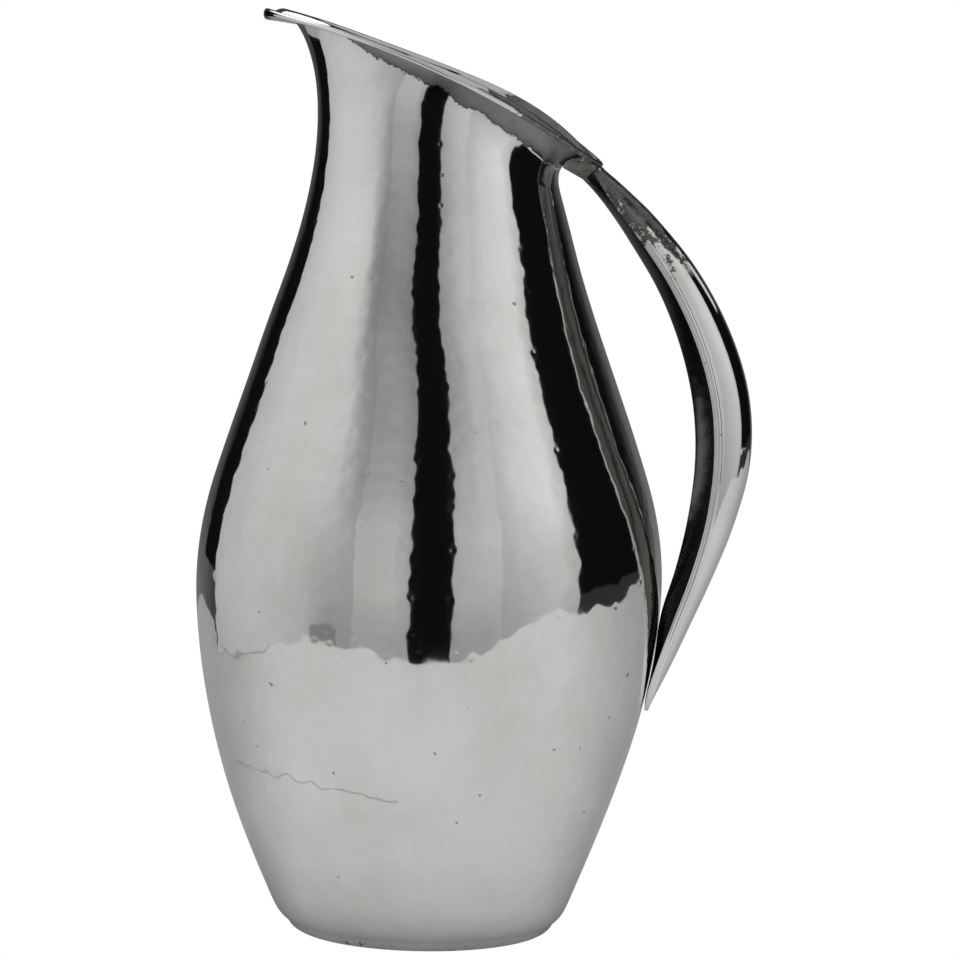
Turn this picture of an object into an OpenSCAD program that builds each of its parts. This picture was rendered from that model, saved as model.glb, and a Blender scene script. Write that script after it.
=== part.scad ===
// Silver water pitcher: a raised body with a sloping mouth and a hollow soldered handle.
// +Z is up, the spout points to -X, the handle is at +X, and the left and right halves mirror across Y = 0.
// The origin is the centre of the resting plane under the foot.

/* [Body] */
// Radius of the wall just above the rounded turn of the foot
foot_r = 33.0; // [32:0.2:35]
// Radius of the let-in bottom plate
plate_r = 29.0; // [28:0.1:29.2]
// Widest radius of the belly
belly_r = 57.0; // [55:0.2:58]
// Height of the widest part of the belly
belly_z = 88; // [84:1:92]
// Narrowest radius of the neck
neck_r = 29.5; // [28.5:0.1:30.5]
// Height that the belly curve would take to reach the neck radius
neck_z = 192; // [188:1:196]
// Thickness of the raised sheet
sheet_t = 1.2; // [1:0.1:1.4]

/* [Mouth] */
// Reach of the spout lip from the axis, without its wire
spout_x = 41.3; // [40:0.1:42]
// Height of the underside of the spout lip's crest
spout_z = 223.7; // [222:0.1:224.4]
// Reach of the mouth's back edge from the axis, without its wire
back_x = 38.9; // [38.6:0.1:39.1]
// Height of the mouth's back edge
back_z = 188.0; // [187.8:0.1:188.2]
// Half the width of the mouth edge
mouth_w = 32.4; // [31:0.1:34]
// Half the width of the applied mouth wire's section, out from the edge
wire_w = 0.85; // [0.7:0.05:1]

/* [Handle] */
// Largest half width of the hollow handle, along Y
handle_w = 8.2; // [7:0.1:9]
// Thickness of the two handle shells
shell_t = 1.0; // [0.8:0.1:1.1]
// Radius of the wire over the seam between the shells
seam_r = 1.0; // [0.8:0.05:1.1]

/* [Finish] */
// Facets round the body
around = 64; // [48:4:68]
// Steps between two stations of the wall and the handle
steps = 2; // [1:1:2]

/* [Hidden] */
silver = [0.78, 0.78, 0.77];
wire_silver = [0.84, 0.84, 0.83];
plate_silver = [0.70, 0.70, 0.69];

// ---- Curves ----

// Radius of the belly wall at a height: a quarter sine up to the widest part, then half a cosine to the neck
function climb(z) = let (u = (z - belly_z) / (neck_z - belly_z)) u + 0.027 * sin(360 * u);
function belly(z) = z <= belly_z
    ? foot_r + (belly_r - foot_r) * pow(sin(90 * z / belly_z), 0.94)
    : neck_r + (belly_r - neck_r) * (1 + cos(180 * climb(z))) / 2;

// A smooth curve through rows of numbers, and all its rows at a given number of steps a gap
function mix(a, b, c, d, t) =
    (2 * b + (c - a) * t + (2 * a - 5 * b + 4 * c - d) * t * t + (3 * b - a - 3 * c + d) * t * t * t) / 2;
function row_at(rows, i) =
    i < 0 ? 2 * rows[0] - rows[1]
    : i >= len(rows) ? 2 * rows[len(rows) - 1] - rows[len(rows) - 2]
    : rows[i];
function smooth_rows(rows, n) = [
    for (k = [0 : n * (len(rows) - 1)])
        let (i = floor(k / n), t = k / n - i)
        mix(row_at(rows, i - 1), row_at(rows, i), row_at(rows, i + 1), row_at(rows, i + 2), t)
];

// ---- Wall of the body ----

// The hand-raised wall leans a little, first towards the spout and then towards the handle
function lean(z) = z < 56 ? -0.5 * sin(180 * z / 56) : z < 150 ? 0.5 * sin(180 * (z - 56) / 94) : 0;
// A level station of the wall: height and radius, the same all the way round
function level(z, r) = [z, lean(z) - r, z, lean(z) + r, r, 0, 0, 0, 0.25];

// Stations of the outside of the wall, from the foot to the edge of the mouth. Each holds the height and reach
// at the spout, the height and reach at the handle, the half width, how far the plan is pinched at the spout
// and at the handle, how far the sides stand above the straight line from spout to handle, and how much more
// they do so towards the handle.
foot_stations = [
    level(0, plate_r + 0.3),
    level(0.2, foot_r - 2.3),
    level(1.1, foot_r - 0.9),
    level(2.5, foot_r + 0.1)
];
belly_stations = [for (z = [5, 12, 24, 38, 54, 71, 88, 104, 120, 135, 149]) level(z, belly(z))];
neck_stations = [
    [162.0, -35.6, 161.5, 36.0, 35.7, 0, 0, 0.1, 0.25],
    [174.5, -32.0, 171.4, 33.2, 32.5, 0, 0, 0.6, 0.25],
    [186.5, -29.7, 178.4, 31.2, 30.3, 0, 0, 1.4, 0.25],
    [197.0, -28.9, 183.2, 29.9, 29.2, 0, 0, 2.4, 0.25],
    [206.0, -29.4, 186.2, 30.0, 28.8, 0.05, 0.05, 3.2, 0.3],
    [213.5, -31.1, back_z - 0.1, 31.0, 29.1, 0.15, 0.10, 3.9, 0.5],
    [219.5, -33.8, back_z + 1.2, 33.2, 30.0, 0.30, 0.18, 4.3, 0.7],
    [spout_z, -37.6, back_z + 1.6, back_x - 2.6, mouth_w - 1.4, 0.45, 0.22, 4.4, 0.85],
    [spout_z - 1.3, -spout_x, back_z, back_x, mouth_w, 0.48, 0.24, 5.8, 0.12]
];
wall_stations = concat(foot_stations, belly_stations, neck_stations);
// The neck is a little egg-shaped in plan, its blunt end at the spout
function egg(z) = 0.07 * (1 - cos(180 * max(0, min(1, (z - 128) / 32)))) / 2;

function on_station(s, a) =
    let (c = cos(a), pinch = c < 0 ? s[5] : s[6])
    [
        (s[1] + s[3]) / 2 + (s[3] - s[1]) / 2 * c,
        s[4] * sin(a) * (1 - pinch * c * c) * (1 - egg(s[0]) * c),
        (s[0] + s[2]) / 2 + (s[2] - s[0]) / 2 * c + s[7] * sin(a) * sin(a) * (1 + s[8] * c * (1 + 0.9 * c))
    ];

wall_rows = smooth_rows(wall_stations, steps);
wall_grid = [for (s = wall_rows) [for (j = [0 : around - 1]) on_station(s, 360 * j / around)]];

// Direction out of the metal at one point of a grid that closes round each row
function unit(v) = v / norm(v);
function out_of(grid, i, j) =
    let (n = len(grid[0]), m = len(grid),
         up = grid[min(i + 1, m - 1)][j] - grid[max(i - 1, 0)][j],
         on = grid[i][(j + 1) % n] - grid[i][(j + n - 1) % n])
    unit(cross(on, up));
// The sheet is thinner towards the mouth
function wall_t(i) = sheet_t - 0.3 * max(0, i / (len(wall_grid) - 1) - 0.6) / 0.4;
wall_inside = [
    for (i = [0 : len(wall_grid) - 1]) [
        for (j = [0 : around - 1])
            let (p = wall_grid[i][j] - wall_t(i) * out_of(wall_grid, i, j))
            [p[0], p[1], max(p[2], wall_grid[0][0][2])]
    ]
];

// ---- Skins over grids of points ----

function flat_list(rows) = [for (r = rows) for (p = r) p];
// Two triangles for each cell between rows i and i + 1 of a grid whose rows close on themselves
function tube_faces(m, n, start, flip) = [
    for (i = [0 : m - 2]) for (j = [0 : n - 1])
        let (a = start + i * n + j, b = start + i * n + (j + 1) % n, c = b + n, d = a + n)
        for (f = [[a, d, c], [a, c, b]]) flip ? [f[2], f[1], f[0]] : f
];

// A closed skin from an outer grid and the grid inside it, joined along the first and last rows
module sheet(outer, inner) {
    m = len(outer);
    n = len(outer[0]);
    low = [for (j = [0 : n - 1]) let (k = (j + 1) % n, s = m * n) for (f = [[j, k, s + k], [j, s + k, s + j]]) f];
    top = [for (j = [0 : n - 1]) let (k = (j + 1) % n, a = (m - 1) * n, s = a + m * n)
        for (f = [[a + k, a + j, s + j], [a + k, s + j, s + k]]) f];
    polyhedron(points = concat(flat_list(outer), flat_list(inner)),
               faces = concat(tube_faces(m, n, 0, false), tube_faces(m, n, m * n, true), low, top));
}

// End caps of a bar: a fan for a solid section, and a strip for a crescent whose second half runs back
// along the first
function fan_cap(n) = [for (j = [1 : n - 2]) [0, j, j + 1]];
function strip_cap(n) = [for (k = [0 : n / 2 - 2]) for (f = [[k, k + 1, n - 2 - k], [k, n - 2 - k, n - 1 - k]]) f];

// A closed bar from rows of section points, with flat ends
module bar(rows, low) {
    m = len(rows);
    n = len(rows[0]);
    top = [for (f = low) [for (v = [2, 1, 0]) (m - 1) * n + f[v]]];
    polyhedron(points = flat_list(rows), faces = concat(tube_faces(m, n, 0, false), low, top));
}

// A closed ring from rows of section points, the last row joined to the first
module hoop(rows) {
    m = len(rows);
    n = len(rows[0]);
    faces = [for (i = [0 : m - 1]) for (j = [0 : n - 1])
        let (i2 = (i + 1) % m, k = (j + 1) % n, a = i * n + j, b = i * n + k, c = i2 * n + k, d = i2 * n + j)
        for (f = [[a, d, c], [a, c, b]]) f];
    polyhedron(points = flat_list(rows), faces = faces);
}

// ---- Body parts ----

module body_shell() {
    color(silver) sheet(wall_grid, wall_inside);
}

// The bottom is let in flush with the foot: a flat ring to stand on, and a shallow dome inside it
module bottom_plate() {
    ring_w = 4.5;
    dome_h = 2.2;
    plate_t = 1.4;
    dome_a = plate_r - ring_w;
    color(plate_silver) rotate_extrude($fn = 96) polygon(concat(
        [[dome_a, 0], [plate_r, 0], [plate_r, plate_t], [dome_a, plate_t]],
        [for (k = [1 : 6]) let (x = dome_a * (1 - k / 6)) [x, plate_t + dome_h * (1 - pow(x / dome_a, 2))]],
        [for (k = [0 : 5]) let (x = dome_a * k / 6) [x, dome_h * (1 - pow(x / dome_a, 2))]]
    ));
}

// Wire laid along the outside of the mouth edge, thicker at the tip of the spout
wire_gap = 0.05;
function at_tip(a) = pow(max(0, -cos(a)), 6);
function wire_h(a) = 0.5 + 0.25 * max(0, cos(a)) + 0.9 * at_tip(a);
mouth_edge = wall_grid[len(wall_grid) - 1];
module mouth_wire() {
    n = len(mouth_edge);
    rows = [for (j = [0 : n - 1])
        let (a = 360 * j / n,
             go = mouth_edge[(j + 1) % n] - mouth_edge[(j + n - 1) % n],
             side = unit([go[1], -go[0], 0]),
             mid = mouth_edge[j] + side * (wire_w + wire_gap) + [0, 0, 0.35 + 0.45 * at_tip(a)])
        [for (k = [0 : 7]) mid + side * wire_w * cos(45 * k) - [0, 0, wire_h(a) * sin(45 * k)]]
    ];
    color(wire_silver) hoop(rows);
}

// ---- Handle ----

// Stations down the seam line: reach and height, half width along Y, depth of the inner shell towards the body,
// and depth of the outer shell away from it
handle_stations = [
    [39.6, 187.0, 5.4, 4.4, 1.1],
    [42.0, 183.2, 5.5, 3.4, 2.6],
    [45.4, 178.5, 5.8, 3.1, 3.9],
    [50.4, 172.2, 6.4, 3.6, 5.0],
    [58.7, 160.4, 7.3, 4.4, 6.3],
    [65.6, 146.6, handle_w - 0.2, 5.4, 7.2],
    [69.8, 132.2, handle_w, 6.0, 7.8],
    [70.8, 117.6, handle_w, 6.0, 7.4],
    [69.2, 103.0, handle_w - 0.4, 5.8, 5.5],
    [65.6, 89.4, handle_w - 1.2, 5.1, 4.0],
    [61.7, 78.4, 6.0, 4.5, 3.2],
    [58.0, 67.8, 4.4, 2.1, 2.3],
    [55.2, 58.8, 2.2, 1.0, 0.9],
    [54.4, 56.0, 1.0, 0.4, 0.5]
];
handle_rows = smooth_rows(handle_stations, steps);
function seam_at(i) = [handle_rows[i][0], 0, handle_rows[i][1]];
// Unit direction away from the body, square to the seam line
function away(i) =
    let (m = len(handle_rows), go = seam_at(min(i + 1, m - 1)) - seam_at(max(i - 1, 0)))
    unit([-go[2], 0, go[0]]);

seam_gap = 0.05;
arc_steps = 10;
// Half of a rounded outline with half width w and depth d: both powers are 2 for a plain V and 1 for an ellipse.
// A lower power on the width makes the back blunter, and a higher one on the depth makes the flanks slope more.
function arch(w, d, pw, pd, a) =
    let (c = cos(a))
    [w * sign(c) * pow(abs(c), pw), d * pow(max(0, sin(a)), pd)];

// Section of one handle shell: an arch outside and the same less the sheet's thickness inside. Depth is positive
// for the outer shell, which has a blunt back, and negative for the V-shaped inner one.
function shell_section(i, w, depth) =
    let (t = min(shell_t, 0.45 * abs(depth), 0.45 * w), sg = sign(depth), gap = sg * seam_gap,
         pw = depth > 0 ? 0.77 : 1.85, pd = depth > 0 ? 1.33 : 1.85)
    concat(
        [for (k = [0 : arc_steps]) let (q = arch(w, depth - gap, pw, pd, 180 * k / arc_steps))
            seam_at(i) + away(i) * (gap + q[1]) + [0, q[0], 0]],
        [for (k = [arc_steps : -1 : 0]) let (q = arch(w - t, depth - gap - sg * t, pw, pd, 180 * k / arc_steps))
            seam_at(i) + away(i) * (gap + q[1]) + [0, q[0], 0]]
    );

module handle_outer_shell() {
    color(silver) bar([for (i = [0 : len(handle_rows) - 1])
        shell_section(i, handle_rows[i][2], handle_rows[i][4])], strip_cap(2 * arc_steps + 2));
}

module handle_inner_shell() {
    color(silver) bar([for (i = [len(handle_rows) - 1 : -1 : 0])
        shell_section(i, handle_rows[i][2], -handle_rows[i][3])], strip_cap(2 * arc_steps + 2));
}

// Half-round wire over the seam, laid on one side of the handle
module seam_wire(side) {
    rows = [for (i = [0 : len(handle_rows) - 1])
        let (w = handle_rows[i][2], r = min(seam_r, 0.35 * w),
             mid = seam_at(i) + [0, side * (w + seam_gap), 0])
        [for (k = [0 : 6]) let (a = 30 * k)
            mid + away(i) * r * cos(a) + [0, side * 0.6 * r * sin(a), 0]]
    ];
    bar(side > 0 ? [for (i = [len(rows) - 1 : -1 : 0]) rows[i]] : rows, fan_cap(7));
}

module handle_seam_wire_near() {
    color(wire_silver) seam_wire(-1);
}

module handle_seam_wire_far() {
    color(wire_silver) seam_wire(1);
}

// Block that joins the top end of the handle to the underside of the flared back of the mouth
module handle_saddle() {
    saddle_w = 8.0;
    color(silver) translate([0, saddle_w / 2, 0]) rotate([90, 0, 0]) linear_extrude(saddle_w)
        polygon([[31.4, back_z - 0.6], [31.9, back_z + 0.1], [33.6, back_z + 0.95], [36.4, back_z + 1.15],
                 [38.4, back_z - 0.15], [38.7, back_z - 0.6], [38.75, back_z - 1.42], [35.75, back_z - 3.25],
                 [34.8, back_z - 3.2]]);
}

body_shell();
bottom_plate();
mouth_wire();
handle_outer_shell();
handle_inner_shell();
handle_seam_wire_near();
handle_seam_wire_far();
handle_saddle();
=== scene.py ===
"""Looks of the silver water pitcher: fine meshes, polished silver and a small light tent round the frame."""
import math

import bpy
import numpy as np
from mathutils import Matrix, Vector


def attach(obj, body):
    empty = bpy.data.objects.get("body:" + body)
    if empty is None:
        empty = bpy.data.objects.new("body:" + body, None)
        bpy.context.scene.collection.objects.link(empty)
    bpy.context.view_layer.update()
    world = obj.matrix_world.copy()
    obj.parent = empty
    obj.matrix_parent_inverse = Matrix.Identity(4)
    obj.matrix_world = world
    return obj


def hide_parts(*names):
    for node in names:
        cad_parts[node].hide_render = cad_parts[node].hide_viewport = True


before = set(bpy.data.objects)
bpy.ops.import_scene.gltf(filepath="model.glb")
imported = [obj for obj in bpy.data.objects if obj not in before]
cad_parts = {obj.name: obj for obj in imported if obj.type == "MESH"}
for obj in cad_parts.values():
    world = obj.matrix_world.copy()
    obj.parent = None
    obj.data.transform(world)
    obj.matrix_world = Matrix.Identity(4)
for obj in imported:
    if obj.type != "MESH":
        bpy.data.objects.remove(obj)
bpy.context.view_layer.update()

MM = 0.001

# ---------------------------------------------------------------- driving sizes, in mm

FOOT_R = 33.0
PLATE_R = 29.0
BELLY_R = 57.0
BELLY_Z = 88.0
NECK_R = 29.5
NECK_Z = 192.0
SHEET_T = 1.2
SPOUT_X = 41.3
SPOUT_Z = 223.7
BACK_X = 38.9
BACK_Z = 188.0
MOUTH_W = 32.4
WIRE_W = 0.85
HANDLE_W = 8.2
SEAM_R = 1.0

# Strength of the darkening, from 0 to 1, on each part that has some: a darker band round the foot, painted
# shade inside the back of the mouth and on the rim wire there, and tarnish on the handle and its seam wires
FOOT_DARKENING = 0.28
MOUTH_PAINTED_SHADE = 0.75
RIM_PAINTED_SHADE = 0.6
HANDLE_TARNISH = 0.62
SEAM_TARNISH = 0.5

ACROSS = np.array([0, 1.0, 0])
UP = np.array([0, 0, 1])


# ---------------------------------------------------------------- curves

def climb(z):
    """How far the wall has gone from the belly to the neck, 0 to 1."""
    u = (z - BELLY_Z) / (NECK_Z - BELLY_Z)
    return u + 0.027 * math.sin(2 * math.pi * u)


def belly(z):
    """Radius of the belly wall: a quarter sine up to the widest part, then half a cosine to the neck."""
    if z <= BELLY_Z:
        return FOOT_R + (BELLY_R - FOOT_R) * math.sin(math.pi / 2 * z / BELLY_Z) ** 0.94
    return NECK_R + (BELLY_R - NECK_R) * (1 + math.cos(math.pi * climb(z))) / 2


def lean(z):
    """The hand-raised wall leans a little, first towards the spout and then towards the handle."""
    if z < 56:
        return -0.5 * math.sin(math.pi * z / 56)
    return 0.5 * math.sin(math.pi * (z - 56) / 94) if z < 150 else 0.0


def level(z, r):
    """A level station of the wall: height and radius, the same all the way round."""
    return [z, lean(z) - r, z, lean(z) + r, r, 0, 0, 0, 0.25]


def egg(z):
    """How much blunter the plan of the neck is at the spout than at the handle."""
    return 0.035 * (1 - np.cos(math.pi * np.clip((z - 128) / 32, 0, 1)))


def smooth_rows(rows, steps):
    """Every row of a smooth curve through the given rows, with steps rows to each gap."""
    rows = np.array(rows, float)
    padded = np.vstack([2 * rows[0] - rows[1], rows, 2 * rows[-1] - rows[-2]])
    t = np.linspace(0, 1, steps, endpoint=False)[:, None]
    out = []
    for a, b, c, d in zip(padded, padded[1:], padded[2:], padded[3:]):
        out.append((2 * b + (c - a) * t + (2 * a - 5 * b + 4 * c - d) * t ** 2
                    + (3 * b - a - 3 * c + d) * t ** 3) / 2)
    return np.vstack(out + [rows[-1:]])


def eased(rows, width, first=0):
    """The rows with their small kinks eased out, ends and the first rows kept."""
    out = rows.copy()
    for _ in range(width):
        mid = (out[:-2] + 2 * out[1:-1] + out[2:]) / 4
        out[1 + first:-1] = mid[first:]
    return out


# Stations of the outside of the wall, foot to mouth edge, as in the CAD: height and reach at the spout,
# height and reach at the handle, half width, pinch at the spout and at the handle, rise of the sides, and
# how much more they rise towards the handle
FOOT_STATIONS = [
    level(0, PLATE_R + 0.3),
    level(0.2, FOOT_R - 2.3),
    level(1.1, FOOT_R - 0.9),
    level(2.5, FOOT_R + 0.1),
]
BELLY_STATIONS = [level(z, belly(z)) for z in (5, 12, 24, 38, 54, 71, 88, 104, 120, 135, 149)]
NECK_STATIONS = [
    [162.0, -35.6, 161.5, 36.0, 35.7, 0, 0, 0.1, 0.25],
    [174.5, -32.0, 171.4, 33.2, 32.5, 0, 0, 0.6, 0.25],
    [186.5, -29.7, 178.4, 31.2, 30.3, 0, 0, 1.4, 0.25],
    [197.0, -28.9, 183.2, 29.9, 29.2, 0, 0, 2.4, 0.25],
    [206.0, -29.4, 186.2, 30.0, 28.8, 0.05, 0.05, 3.2, 0.3],
    [213.5, -31.1, BACK_Z - 0.1, 31.0, 29.1, 0.15, 0.10, 3.9, 0.5],
    [219.5, -33.8, BACK_Z + 1.2, 33.2, 30.0, 0.30, 0.18, 4.3, 0.7],
    [SPOUT_Z, -37.6, BACK_Z + 1.6, BACK_X - 2.6, MOUTH_W - 1.4, 0.45, 0.22, 4.4, 0.85],
    [SPOUT_Z - 1.3, -SPOUT_X, BACK_Z, BACK_X, MOUTH_W, 0.48, 0.24, 5.8, 0.12],
]

# Stations down the handle's seam line: reach, height, half width, depth of the inner and of the outer shell
HANDLE_STATIONS = [
    [39.6, 187.0, 5.4, 4.4, 1.1],
    [42.0, 183.2, 5.5, 3.4, 2.6],
    [45.4, 178.5, 5.8, 3.1, 3.9],
    [50.4, 172.2, 6.4, 3.6, 5.0],
    [58.7, 160.4, 7.3, 4.4, 6.3],
    [65.6, 146.6, HANDLE_W - 0.2, 5.4, 7.2],
    [69.8, 132.2, HANDLE_W, 6.0, 7.8],
    [70.8, 117.6, HANDLE_W, 6.0, 7.4],
    [69.2, 103.0, HANDLE_W - 0.4, 5.8, 5.5],
    [65.6, 89.4, HANDLE_W - 1.2, 5.1, 4.0],
    [61.7, 78.4, 6.0, 4.5, 3.2],
    [58.0, 67.8, 4.4, 2.1, 2.3],
    [55.2, 58.8, 2.2, 1.0, 0.9],
    [54.4, 56.0, 1.0, 0.4, 0.5],
]

# Powers of the two shells' sections across and out, as in the CAD: a blunt back and a V-shaped grip
BACK_POWERS = (0.77, 1.33)
GRIP_POWERS = (1.85, 1.85)

# Side view of the block at the top of the handle, from its front edge over the top and back underneath:
# reach, and height over the back of the mouth
SADDLE_OUTLINE = np.array([
    [31.2, -0.6], [31.9, 0.9], [33.6, 1.7], [36.4, 2.1], [38.4, 0.8], [40.3, -0.4],
    [41.2, -1.7], [39.6, -5.2], [35.9, -3.2],
])
# Half width of the block at three reaches
SADDLE_REACHES = (31, 36, 40.3)
SADDLE_HALF_WIDTHS = (3.4, 4.2, 5.5)
# How much narrower its last two corners are, which lie underneath
SADDLE_TAPER = (0.1, 0.5)


def rings(stations, around):
    """Grid of wall points, one closed ring to each station."""
    a = np.linspace(0, 2 * math.pi, around, endpoint=False)
    c, s = np.cos(a), np.sin(a)
    zf, xf, zb, xb, half, pinch_f, pinch_b, rise, bias = (stations[:, k:k + 1] for k in range(9))
    pinch = np.where(c < 0, pinch_f, pinch_b)
    x = (xf + xb) / 2 + (xb - xf) / 2 * c
    y = half * s * (1 - pinch * c * c) * (1 - egg(zf) * c)
    z = (zf + zb) / 2 + (zb - zf) / 2 * c + rise * s * s * (1 + bias * c * (1 + 0.9 * c))
    return np.stack([x, y, z], -1)


def unit(v):
    return v / np.linalg.norm(v, axis=-1, keepdims=True)


def normals(grid):
    """Directions out of the metal for a grid whose rows close on themselves."""
    up = np.gradient(grid, axis=0)
    on = np.roll(grid, -1, 1) - np.roll(grid, 1, 1)
    return unit(np.cross(on, up))


# ---------------------------------------------------------------- meshes

def skin(name, grid, closed_rows=False, caps=False, tarnish_and_shade=None):
    """A smooth-shaded mesh over a grid of points in mm whose rows close on themselves.

    Tarnish and painted shade, from 0 to 1 at each point of the grid, are kept on the mesh for the material."""
    m, n = grid.shape[:2]
    index = np.arange(m * n).reshape(m, n)
    low = index if closed_rows else index[:-1]
    high = np.roll(index, -1, 0) if closed_rows else index[1:]
    quads = np.stack([low, np.roll(low, -1, 1), np.roll(high, -1, 1), high], -1).reshape(-1, 4)
    faces = quads.tolist()
    if caps:
        faces += [index[0][::-1].tolist(), index[-1].tolist()]
    mesh = bpy.data.meshes.new(name)
    mesh.from_pydata((grid.reshape(-1, 3) * MM).tolist(), [], faces)
    mesh.polygons.foreach_set("use_smooth", [True] * len(mesh.polygons))
    if tarnish_and_shade is not None:
        layer = mesh.color_attributes.new("tarnish_and_shade", "FLOAT_COLOR", "POINT")
        layer.data.foreach_set("color", np.repeat(tarnish_and_shade.ravel(), 4))
    mesh.update()
    piece = bpy.data.objects.new(name, mesh)
    bpy.context.scene.collection.objects.link(piece)
    return piece


def place(piece, material, slot, *nodes):
    """Gives a piece its material and its body, and hides the CAD nodes that it stands for."""
    piece.data.materials.append(material)
    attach(piece, "root")
    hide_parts(*nodes)
    return piece


def smooth(t):
    t = np.clip(t, 0, 1)
    return t * t * (3 - 2 * t)


def at_back(around):
    """1 round the back of the mouth, next to the handle, and 0 round the spout."""
    c = np.cos(np.linspace(0, 2 * math.pi, around, endpoint=False))
    return smooth((c - 0.25) / 0.35)


def mouth_border(rows, around, steps):
    """Tarnish of the dull border under the mouth edge, with painted shade by the handle's root where it is
    widest: wide at the handle, none at the spout's tip.
    """
    c = np.cos(np.linspace(0, 2 * math.pi, around, endpoint=False))[None, :]
    below_edge = np.arange(rows)[::-1, None] / steps
    width = 2.4 + 1.1 * c
    return smooth((c + 0.95) / 0.85) * np.clip((width - below_edge) / 1.0 + 0.5, 0, 1)


def body_wall(around=320, steps=10):
    """The raised wall: outside, rounded edge and inside as one closed skin."""
    stations = smooth_rows(FOOT_STATIONS + BELLY_STATIONS + NECK_STATIONS, steps)
    stations = eased(stations, 8, first=3 * steps)
    outer = rings(stations, around)
    out = normals(outer)
    along = np.linspace(0, 1, len(outer))[:, None, None]
    thick = SHEET_T - 0.3 * np.clip(along - 0.6, 0, 1) / 0.4
    inner = outer - thick * out
    inner[..., 2] = np.maximum(inner[..., 2], 0)
    edge_out, edge_in = outer[-1], inner[-1]
    mid, half = (edge_out + edge_in) / 2, (edge_out - edge_in) / 2
    ahead = unit(outer[-1] - outer[-2]) * np.linalg.norm(half, axis=-1, keepdims=True)
    turn = [mid + half * math.cos(t) + ahead * math.sin(t) for t in np.linspace(0.3, math.pi - 0.3, 5)]
    grid = np.concatenate([outer, np.array(turn), inner[::-1]])
    tarnish_and_shade = np.zeros(grid.shape[:2])
    # Darker along the bottom few millimetres of the wall
    at_foot = smooth((3.5 - outer[..., 2]) / 2)
    tarnish_and_shade[:len(outer)] = mouth_border(len(outer), around, steps) + FOOT_DARKENING * at_foot
    # Painted shade on the rounded edge and down the inside at the back of the mouth
    tarnish_and_shade[len(outer):len(outer) + 5 * steps] = MOUTH_PAINTED_SHADE * at_back(around)
    return skin("body_wall", grid, closed_rows=True, tarnish_and_shade=tarnish_and_shade), outer[-1]


def mouth_wire(edge, sides=14):
    """Wire laid along the outside of the mouth edge, thicker at the tip of the spout."""
    a = np.linspace(0, 2 * math.pi, len(edge), endpoint=False)[:, None]
    go = np.roll(edge, -1, 0) - np.roll(edge, 1, 0)
    side = unit(np.stack([go[:, 1], -go[:, 0], 0 * go[:, 0]], -1))
    at_tip = np.clip(-np.cos(a), 0, 1) ** 6
    high = 0.5 + 0.25 * np.clip(np.cos(a), 0, 1) + 0.9 * at_tip
    mid = edge + side * (WIRE_W + 0.02) + (0.35 + 0.45 * at_tip) * UP
    turn = np.linspace(0, 2 * math.pi, sides, endpoint=False)
    ribs = [mid + side * WIRE_W * math.cos(t) - high * math.sin(t) * UP for t in turn]
    grid = np.stack(ribs, 1)
    # Painted shade on the wire round the back of the mouth
    tarnish_and_shade = np.repeat(RIM_PAINTED_SHADE * at_back(len(edge))[:, None] ** 3, sides, 1)
    return skin("rim_wire", grid, closed_rows=True, tarnish_and_shade=tarnish_and_shade)


def handle_frame(steps=14):
    """Rows down the handle with the unit direction away from the body at each."""
    rows = eased(smooth_rows(HANDLE_STATIONS, steps), 10)
    go = np.gradient(rows[:, :2], axis=0)
    away = unit(np.stack([-go[:, 1], 0 * go[:, 0], go[:, 0]], -1))
    return rows, np.stack([rows[:, 0], 0 * rows[:, 0], rows[:, 1]], -1), away


def arch(width, depth, powers, t):
    """Rounded outline over the seam line: both powers are 2 for a plain V and 1 for an ellipse."""
    c, sn = math.cos(t), max(0.0, math.sin(t))
    return width * math.copysign(abs(c) ** powers[0], c), depth * sn ** powers[1]


def handle_shell(name, rows, seam, away, depth, powers, sides=72):
    """One half of the hollow handle from seam to seam, closed by the flat that faces the other half."""
    ribs = []
    for t in np.linspace(0, math.pi, sides):
        wide, out = arch(rows[:, 2], depth, powers, t)
        ribs.append(seam + away * out[:, None] + ACROSS * wide[:, None])
    grid = np.stack(ribs, 1)
    tarnish_and_shade = HANDLE_TARNISH * smooth((grid[..., 2] - 140) / 45)
    if depth[0] < 0:
        grid, tarnish_and_shade = grid[:, ::-1], tarnish_and_shade[:, ::-1]
    return skin(name, grid, caps=True, tarnish_and_shade=tarnish_and_shade)


def seam_wire(name, rows, seam, away, side, sides=40):
    """Half-round wire that covers the seam on one side of the handle, with a faint groove down its middle."""
    r = np.minimum(SEAM_R, 0.35 * rows[:, 2])
    mid = seam + np.array([0, side, 0]) * (rows[:, 2] - 0.05)[:, None]
    y = np.array([0, side * 0.6, 0])
    ribs = []
    for t in np.linspace(0, 2 * math.pi, sides, endpoint=False):
        groove = 1 - 0.35 * math.exp(-(math.cos(t) / 0.2) ** 2)
        ribs.append(mid + away * (r * math.cos(t))[:, None] + y * (r * math.sin(t) * groove)[:, None])
    grid = np.stack(ribs, 1)
    tarnish_and_shade = SEAM_TARNISH * smooth((grid[..., 2] - 145) / 35)
    return skin(name, grid if side < 0 else grid[:, ::-1], caps=True, tarnish_and_shade=tarnish_and_shade)


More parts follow.
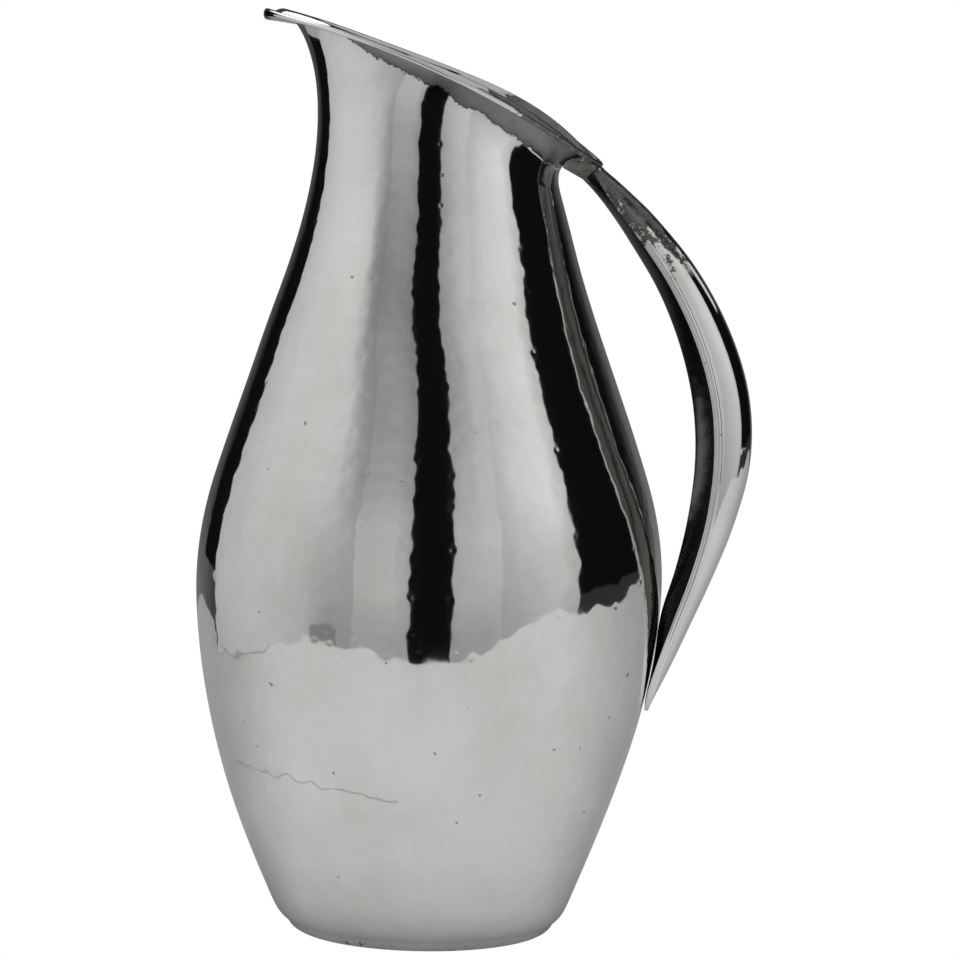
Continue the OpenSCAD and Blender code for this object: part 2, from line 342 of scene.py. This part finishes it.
def saddle():
    """Block between the back of the mouth and the handle, let into both and widest at the handle."""
    reach, rise = SADDLE_OUTLINE.T
    points = np.stack([reach, 0 * reach, BACK_Z + rise], -1)
    half_width = np.interp(reach, SADDLE_REACHES, SADDLE_HALF_WIDTHS)
    half_width[-2:] *= SADDLE_TAPER
    slices = [points + ACROSS * (half_width * t)[:, None] for t in np.linspace(-1, 1, 9)]
    grid = np.array(slices)[:, ::-1]
    piece = skin("handle_block", grid, caps=True, tarnish_and_shade=np.full(grid.shape[:2], HANDLE_TARNISH))
    piece.data.set_sharp_from_angle(angle=math.radians(35))
    return piece


# ---------------------------------------------------------------- silver

def node_tree(name):
    material = bpy.data.materials.new(name)
    material.use_nodes = True
    tree = material.node_tree
    return material, tree, tree.nodes["Principled BSDF"]


def add(tree, kind, **values):
    """A node with its properties and sockets set by name."""
    node = tree.nodes.new(kind)
    for key, value in values.items():
        if hasattr(node, key):
            setattr(node, key, value)
        else:
            node.inputs[key.replace("_", " ")].default_value = value
    return node


def texture(tree, place_in, kind, **values):
    """A texture node read at the piece's own coordinates."""
    node = add(tree, kind, **values)
    tree.links.new(place_in, node.inputs["Vector"])
    return node


def ramp(tree, value, stops):
    """A colour ramp over a value: each stop is a position and a colour."""
    node = add(tree, "ShaderNodeValToRGB")
    elements = node.color_ramp.elements
    while len(elements) < len(stops):
        elements.new(0.5)
    for element, (position, colour) in zip(elements, stops):
        element.position = position
        element.color = (*colour, 1)
    tree.links.new(value, node.inputs["Fac"])
    return node.outputs["Color"]


# A mix node has sockets of the same name for each kind of data: these are the colours and their result
MIX_FIRST, MIX_SECOND, MIX_RESULT = 6, 7, 2


def times(tree, first, second):
    """Product of two colours."""
    node = add(tree, "ShaderNodeMix", data_type="RGBA", blend_type="MULTIPLY")
    node.inputs["Factor"].default_value = 1.0
    tree.links.new(first, node.inputs[MIX_FIRST])
    tree.links.new(second, node.inputs[MIX_SECOND])
    return node.outputs[MIX_RESULT]


def tarnish_and_shade_value(tree, place_in):
    """The mesh's own tarnish and painted shade with a ragged edge."""
    kept = add(tree, "ShaderNodeVertexColor", layer_name="tarnish_and_shade")
    ragged = texture(tree, place_in, "ShaderNodeTexNoise", Scale=300, Detail=4.0, Roughness=0.7)
    swing = add(tree, "ShaderNodeMath", operation="MULTIPLY_ADD")
    swing.inputs[1].default_value = 1.2
    swing.inputs[2].default_value = -0.6
    tree.links.new(ragged.outputs["Fac"], swing.inputs[0])
    total = add(tree, "ShaderNodeMath", operation="ADD", use_clamp=True)
    tree.links.new(kept.outputs["Color"], total.inputs[0])
    tree.links.new(swing.outputs["Value"], total.inputs[1])
    return total.outputs["Value"]


def relief(tree, place_in, hammer, mark, wobble):
    """Normal of planishing marks over slow waves."""
    marks = texture(tree, place_in, "ShaderNodeTexVoronoi", feature="SMOOTH_F1", Scale=mark,
                    Smoothness=1.0, Randomness=0.8)
    slow = texture(tree, place_in, "ShaderNodeTexNoise", Scale=38, Detail=1.0, Roughness=0.4)
    waves = add(tree, "ShaderNodeBump", Strength=1.0, Distance=wobble)
    tree.links.new(slow.outputs["Fac"], waves.inputs["Height"])
    hammered = add(tree, "ShaderNodeBump", Strength=1.0, Distance=hammer)
    tree.links.new(marks.outputs["Distance"], hammered.inputs["Height"])
    tree.links.new(waves.outputs["Normal"], hammered.inputs["Normal"])
    return hammered.outputs["Normal"]


def cloudy(tree, place_in, colour):
    """The metal's colour with faint cloudiness and a few specks."""
    cloud = texture(tree, place_in, "ShaderNodeTexNoise", Scale=30, Detail=6.0, Roughness=0.66)
    specks = texture(tree, place_in, "ShaderNodeTexNoise", Scale=300, Detail=1.0, Roughness=0.5)
    dull = [c * f for c, f in zip(colour, (0.90, 0.895, 0.88))]
    tone = ramp(tree, cloud.outputs["Fac"], [(0.36, dull), (0.58, colour)])
    dots = ramp(tree, specks.outputs["Fac"], [(0.20, (0.45, 0.43, 0.41)), (0.225, (1, 1, 1))])
    return times(tree, tone, dots)


def polish(tree, place_in, rough):
    """Roughness that varies finely about the given one."""
    fine = texture(tree, place_in, "ShaderNodeTexNoise", Scale=900, Detail=3.0, Roughness=0.6)
    gloss = add(tree, "ShaderNodeMapRange", To_Min=rough * 0.7, To_Max=rough * 1.6)
    tree.links.new(fine.outputs["Fac"], gloss.inputs["Value"])
    return gloss.outputs["Result"]


def stain_and_shade(tree, place_in, tone, finish):
    """The colour and the roughness with the mesh's tarnish and painted shade over them."""
    tarnish_and_shade_amount = tarnish_and_shade_value(tree, place_in)
    matt = add(tree, "ShaderNodeMapRange", From_Min=0.40, From_Max=0.60, To_Min=0.0, To_Max=0.30)
    tree.links.new(tarnish_and_shade_amount, matt.inputs["Value"])
    both = add(tree, "ShaderNodeMath", operation="ADD")
    tree.links.new(finish, both.inputs[0])
    tree.links.new(matt.outputs["Result"], both.inputs[1])
    # Darkens the colour where the mesh holds tarnish and painted shade
    stain_and_shade_tint = ramp(tree, tarnish_and_shade_amount, [
        (0.0, (1, 1, 1)), (0.38, (0.98, 0.98, 0.98)), (0.46, (0.14, 0.13, 0.12)),
        (0.62, (0.27, 0.265, 0.26)), (1.0, (0.34, 0.34, 0.34)),
    ])
    return times(tree, tone, stain_and_shade_tint), both.outputs["Value"]


def silver(name, colour=(0.93, 0.925, 0.91), hammer=6.5e-5, mark=290, wobble=1.2e-4, rough=0.05,
           with_tarnish_and_shade=False):
    """Polished silver with planishing marks, a slow wobble, faint cloudiness, specks, and tarnish with
    painted shade.

    Hammer and wobble are depths in metres, and mark is the number of marks to a metre."""
    material, tree, shader = node_tree(name)
    place_in = add(tree, "ShaderNodeTexCoord").outputs["Object"]
    tone = cloudy(tree, place_in, colour)
    finish = polish(tree, place_in, rough)
    if with_tarnish_and_shade:
        tone, finish = stain_and_shade(tree, place_in, tone, finish)
    shader.inputs["Metallic"].default_value = 1.0
    tree.links.new(relief(tree, place_in, hammer, mark, wobble), shader.inputs["Normal"])
    tree.links.new(tone, shader.inputs["Base Color"])
    tree.links.new(finish, shader.inputs["Roughness"])
    return material


# ---------------------------------------------------------------- camera

CAM_AZ = math.radians(7.5)
CAM_DISTANCE = 0.900
CAM_HEIGHT = 0.185
CAM_ROLL = math.radians(1.25)
CAM_AIM = Vector((0.0124, 0, 0.1110))
CAM_LENS = 138.4


def camera():
    data = bpy.data.cameras.new("camera")
    data.lens = CAM_LENS
    data.sensor_width = 36
    seat = bpy.data.objects.new("camera", data)
    bpy.context.scene.collection.objects.link(seat)
    spot = Vector((CAM_DISTANCE * math.sin(CAM_AZ), -CAM_DISTANCE * math.cos(CAM_AZ), CAM_HEIGHT))
    ahead = (CAM_AIM - spot).normalized()
    right = ahead.cross(Vector((0, 0, 1))).normalized()
    up = right.cross(ahead)
    r = right * math.cos(CAM_ROLL) + up * math.sin(CAM_ROLL)
    u = up * math.cos(CAM_ROLL) - right * math.sin(CAM_ROLL)
    seat.matrix_world = Matrix.Translation(spot) @ Matrix((r, u, -ahead)).transposed().to_4x4()
    bpy.context.scene.camera = seat


# ---------------------------------------------------------------- light tent

# Outline of the tent's walls, in metres: right and away from the camera's side of the pitcher
ROOM = [
    (-0.05, 0.60), (-0.40, 0.60), (-0.40, 0.33), (-0.30, 0.19), (-0.30, -0.20), (-0.24, -0.225),
    (-0.16, -0.252), (0.15, -0.257), (0.20, -0.275), (0.28, -0.305), (0.46, -0.31), (0.52, -0.25),
    (0.545, -0.10), (0.66, -0.07), (0.66, 0.13), (1.0, 0.46), (1.0, 0.9),
]
WALL_TOP = 0.60
CEILING = 0.95
# Heights of the rows of points up each wall
WALL_HEIGHTS = (0, 0.015, 0.045, 0.08, 0.125, 0.175, 0.25, 0.33, WALL_TOP)

# Sheets of the walls. Each row holds an angle from the camera's direction, positive to its right, and then
# the brightness in percent at each of the levels. The camera stands in the opening between -8 and 11
# degrees, and there are dark openings at the left back and at the right.
LEVELS = (0.015, 0.08, 0.175, 0.33)
WALLS = [
    [(-180, 41, 33, 30, 24), (-160, 41, 33, 30, 24), (-150, 38, 33, 22, 20), (-143, 36, 29, 12, 8)],
    [(-122, 64, 66, 67, 68), (-110, 67, 69, 71, 73), (-90, 71, 71, 75, 78), (-70, 69, 71, 74, 80),
     (-60, 66, 68, 71, 79), (-50, 57, 64, 68, 76), (-45, 54, 62, 67, 65), (-40, 56, 61, 64, 53),
     (-34, 56, 60, 60, 49)],
    [(-34, 60, 67, 67, 51), (-22, 60, 69, 68, 52), (-15, 60, 69, 68, 49), (-8.2, 59, 63, 59, 45)],
    [(10.6, 56, 64, 64, 54), (15, 59, 66, 67, 57), (25, 59, 67, 72, 68), (33, 62, 67, 73, 72)],
    [(33, 59, 62, 67, 70), (45, 62, 67, 71, 77), (60, 69, 72, 74, 81), (65, 67, 73, 75, 82),
     (74.5, 62, 67, 68, 71)],
    [(134, 20, 16, 12, 10), (150, 45, 42, 36, 26), (165, 48, 42, 36, 26), (180, 41, 33, 30, 24)],
]
# Low strips inside the dark openings
LOW_STRIP_TOP = 0.06
LOW_STRIPS = [[(-143, 36), (-122, 22)], [(74.5, 19), (126, 19)]]
# Upper band, from the wall tops to the ceiling, at its foot and at its top
UPPER_BAND = [
    [(-176, 112, 112), (-131, 112, 112)],
    [(-131, 62, 64), (-60, 66, 66), (-8.2, 62, 64)],
    [(10.6, 40, 38), (88, 38, 38)],
    [(88, 55, 55), (110, 70, 70), (130, 85, 85)],
]
CEILING_GLOW = 67
# The opening that the camera looks in through, in degrees, and the reach of the floor and ceiling there
SLOT = (-8.2, 10.6)
SLOT_REACH = 0.256
# Brightness of the floor in percent against the distance from the pitcher's axis, in metres, lower near the
# axis as a painted shadow of the pitcher
FLOOR = [(0, 35), (0.030, 44), (0.037, 56), (0.046, 67), (0.062, 72), (0.10, 74.5), (0.3, 75), (1.3, 75)]
# A crease in the floor cloth, in front of the pitcher and to its left, drawn as a dimmer strip: painted shade
# in the crease
CREASE = [
    (-0.129, 0.067), (-0.121, -0.001), (-0.103, -0.037), (-0.083, -0.059), (-0.060, -0.075),
    (-0.037, -0.084), (-0.016, -0.087),
]
CREASE_WIDTH = 0.0008
CREASE_HEIGHT = 0.0003
CREASE_SHADE_GLOW = 45
# Low upright sheets on the floor: line, height of the top edge and brightness. The second, only 1.8 mm high
# along the foot of the left wall, is painted shade where the wall meets the floor
UPRIGHTS = [
    ([(-0.285, -0.203), (-0.205, -0.232)], 0.018, 48),
    ([(-0.299, 0.165), (-0.299, -0.060)], 0.0018, 50),
]


def brightness(percent):
    """Light that shows at the given percentage of white in a silver mirror."""
    return (np.asarray(percent, float) / 100) ** 2.2 / 0.93


def in_room(right, beyond, height):
    """A point of the scene from its distances to the right of the pitcher and beyond it."""
    c, s = math.cos(CAM_AZ), math.sin(CAM_AZ)
    return np.stack([right * c - beyond * s, right * s + beyond * c, height + 0 * right], -1)


def wall_reach(angle):
    """Distance from the axis to the nearest wall at an angle from the camera's direction."""
    a = math.radians(angle)
    go = np.array([math.sin(a), -math.cos(a)])
    best = 2.0
    for p, q in zip(ROOM, ROOM[1:] + ROOM[:1]):
        p, q = np.array(p), np.array(q)
        edge = q - p
        cross = go[0] * edge[1] - go[1] * edge[0]
        if abs(cross) < 1e-9:
            continue
        far = (p[0] * edge[1] - p[1] * edge[0]) / cross
        along = (p[0] * go[1] - p[1] * go[0]) / cross
        if far > 0 and -1e-6 <= along <= 1 + 1e-6:
            best = min(best, far)
    return best


def wall_patch(sheet, levels, heights):
    """Part of the wall as a grid of points with a brightness at each."""
    table = np.array(sheet, float)
    angles = np.union1d(np.arange(math.ceil(table[0, 0]), table[-1, 0], 2), table[:, 0])
    columns = [np.interp(angles, table[:, 0], table[:, k + 1]) for k in range(len(levels))]
    glow = np.array([np.interp(heights, levels, column) for column in np.transpose(columns)]).T
    reach = np.array([wall_reach(a) for a in angles])
    right, beyond = reach * np.sin(np.radians(angles)), -reach * np.cos(np.radians(angles))
    return np.stack([in_room(right, beyond, z) for z in heights]), brightness(glow)


def round_the_axis(radii, angles, height):
    """Level grid of points round the axis, cut short where the camera looks in."""
    in_slot = (angles >= SLOT[0]) & (angles <= SLOT[1])
    radii = np.where(in_slot, np.minimum(radii, SLOT_REACH), radii)
    turn = np.radians(angles)
    return in_room(radii * np.sin(turn), -radii * np.cos(turn), height)


def floor_patch():
    """The floor, with a painted shadow under the pitcher, and dimmer towards the back."""
    radii, shades = (np.array(v, float)[:, None] for v in zip(*FLOOR))
    angles = np.union1d(np.arange(-180, 181, 4), SLOT)
    # Painted shadow of the pitcher on the floor, added at its sides and back
    pitcher_shadow = smooth((0.09 - radii) / 0.05)
    to_back = 0.22 * smooth((abs(angles) - 60) / 75)
    dim = 1 - to_back - 0.10 * pitcher_shadow * smooth((abs(angles) - 35) / 60)
    return round_the_axis(radii, angles, -0.0003), brightness(shades * dim)


def strip_patch(line, width, height, percent):
    """A narrow level strip along a line of points."""
    line = np.array(line)
    go = np.gradient(line, axis=0)
    side = np.stack([go[:, 1], -go[:, 0]], -1) / np.linalg.norm(go, axis=-1, keepdims=True) * width / 2
    edges = np.stack([line - side, line + side])
    return in_room(edges[..., 0], edges[..., 1], height), np.full(edges.shape[:2], brightness(percent))


def upright_patch(line, top, percent):
    """An upright sheet over a line on the floor."""
    line = np.array(line)
    points = np.stack([in_room(line[:, 0], line[:, 1], z) for z in (0, top)])
    return points, np.full(points.shape[:2], brightness(percent))


def ceiling_patch():
    """The ceiling, which is also open towards the camera."""
    angles = np.union1d(np.arange(-180, 181, 10), SLOT)
    points = round_the_axis(np.array([[0.0], [0.3], [1.1]]), angles, CEILING)
    return points, np.full(points.shape[:2], brightness(CEILING_GLOW))


def emitter(name):
    """A material that only gives off light: itself, its node tree and its emission node."""
    material = bpy.data.materials.new(name)
    material.use_nodes = True
    tree = material.node_tree
    tree.nodes.clear()
    light = add(tree, "ShaderNodeEmission", Color=(1, 1, 1, 1), Strength=1.0)
    end = add(tree, "ShaderNodeOutputMaterial")
    tree.links.new(light.outputs["Emission"], end.inputs["Surface"])
    return material, tree, light


def glow_material(name):
    """Light given off as the mesh's own brightness says."""
    material, tree, light = emitter(name)
    value = add(tree, "ShaderNodeVertexColor", layer_name="glow")
    tree.links.new(value.outputs["Color"], light.inputs["Color"])
    return material


def tent():
    """The tent round the pitcher as one stage mesh, seen only in reflections."""
    patches = [wall_patch(sheet, LEVELS, WALL_HEIGHTS) for sheet in WALLS]
    patches += [wall_patch(sheet, (0,), (0, LOW_STRIP_TOP)) for sheet in LOW_STRIPS]
    patches += [wall_patch(sheet, (WALL_TOP, CEILING), (WALL_TOP, CEILING)) for sheet in UPPER_BAND]
    patches += [floor_patch(), ceiling_patch()]
    patches.append(strip_patch(CREASE, CREASE_WIDTH, CREASE_HEIGHT, CREASE_SHADE_GLOW))
    patches += [upright_patch(line, top, percent) for line, top, percent in UPRIGHTS]
    points, faces, glows = [], [], []
    for grid, glow in patches:
        rows, columns = glow.shape
        index = np.arange(rows * columns).reshape(rows, columns) + len(points)
        quads = np.stack([index[:-1, :-1], index[:-1, 1:], index[1:, 1:], index[1:, :-1]], -1)
        faces += quads.reshape(-1, 4).tolist()
        points += grid.reshape(-1, 3).tolist()
        glows += glow.ravel().tolist()
    mesh = bpy.data.meshes.new("tent")
    mesh.from_pydata(points, [], faces)
    layer = mesh.color_attributes.new("glow", "FLOAT_COLOR", "POINT")
    layer.data.foreach_set("color", np.repeat(np.array(glows), 4))
    mesh.materials.append(glow_material("tent_glow"))
    piece = bpy.data.objects.new("tent", mesh)
    bpy.context.scene.collection.objects.link(piece)
    piece.visible_camera = False


def pale_studio():
    """Plain pale surroundings for the camera on every side, kept out of the reflections."""
    material, _, _ = emitter("pale_backdrop")
    bpy.ops.mesh.primitive_uv_sphere_add(radius=7, segments=48, ring_count=24)
    surround = bpy.context.object
    surround.name = "pale_surround"
    surround.data.materials.append(material)
    surround.visible_glossy = False
    surround.visible_diffuse = False
    surround.visible_shadow = False
    surround.visible_transmission = False


def studio():
    scene = bpy.context.scene
    scene.view_settings.view_transform = "Standard"
    world = bpy.data.worlds.new("dark_room")
    world.use_nodes = True
    world.node_tree.nodes["Background"].inputs["Color"].default_value = (0.004, 0.004, 0.004, 1)
    scene.world = world
    tent()
    pale_studio()


# ---------------------------------------------------------------- the pitcher

def pitcher():
    body_silver = silver("body_silver", with_tarnish_and_shade=True)
    handle_silver = silver("handle_silver", hammer=0.6e-5, mark=520, wobble=0.3e-4, with_tarnish_and_shade=True)
    # Near-black base colour: painted shade on the grip side of the handle
    grip_shade_silver = silver("grip_shade_silver", colour=(0.17, 0.166, 0.16), hammer=1.0e-5, rough=0.16)
    wire_silver = silver("wire_silver", colour=(0.95, 0.945, 0.935), hammer=0.3e-5, mark=700, wobble=0.2e-4,
                         with_tarnish_and_shade=True)
    base_silver = silver("base_silver", colour=(0.85, 0.845, 0.83), hammer=1.0e-5, rough=0.16)
    wall, edge = body_wall()
    place(wall, body_silver, "body_silver", "body_shell")
    place(mouth_wire(edge), wire_silver, "wire_silver", "mouth_wire")
    rows, seam, away = handle_frame()
    back = handle_shell("handle_back", rows, seam, away, rows[:, 4], BACK_POWERS)
    place(back, handle_silver, "handle_silver", "handle_outer_shell")
    grip = handle_shell("handle_grip", rows, seam, away, -rows[:, 3], GRIP_POWERS)
    place(grip, grip_shade_silver, "handle_silver", "handle_inner_shell")
    for side, word in ((-1, "near"), (1, "far")):
        wire = seam_wire("handle_wire_" + word, rows, seam, away, side)
        place(wire, wire_silver, "wire_silver", "handle_seam_wire_" + word)
    place(saddle(), handle_silver, "handle_silver", "handle_saddle")
    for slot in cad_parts["bottom_plate"].material_slots:
        slot.material = base_silver


camera()
studio()
pitcher()
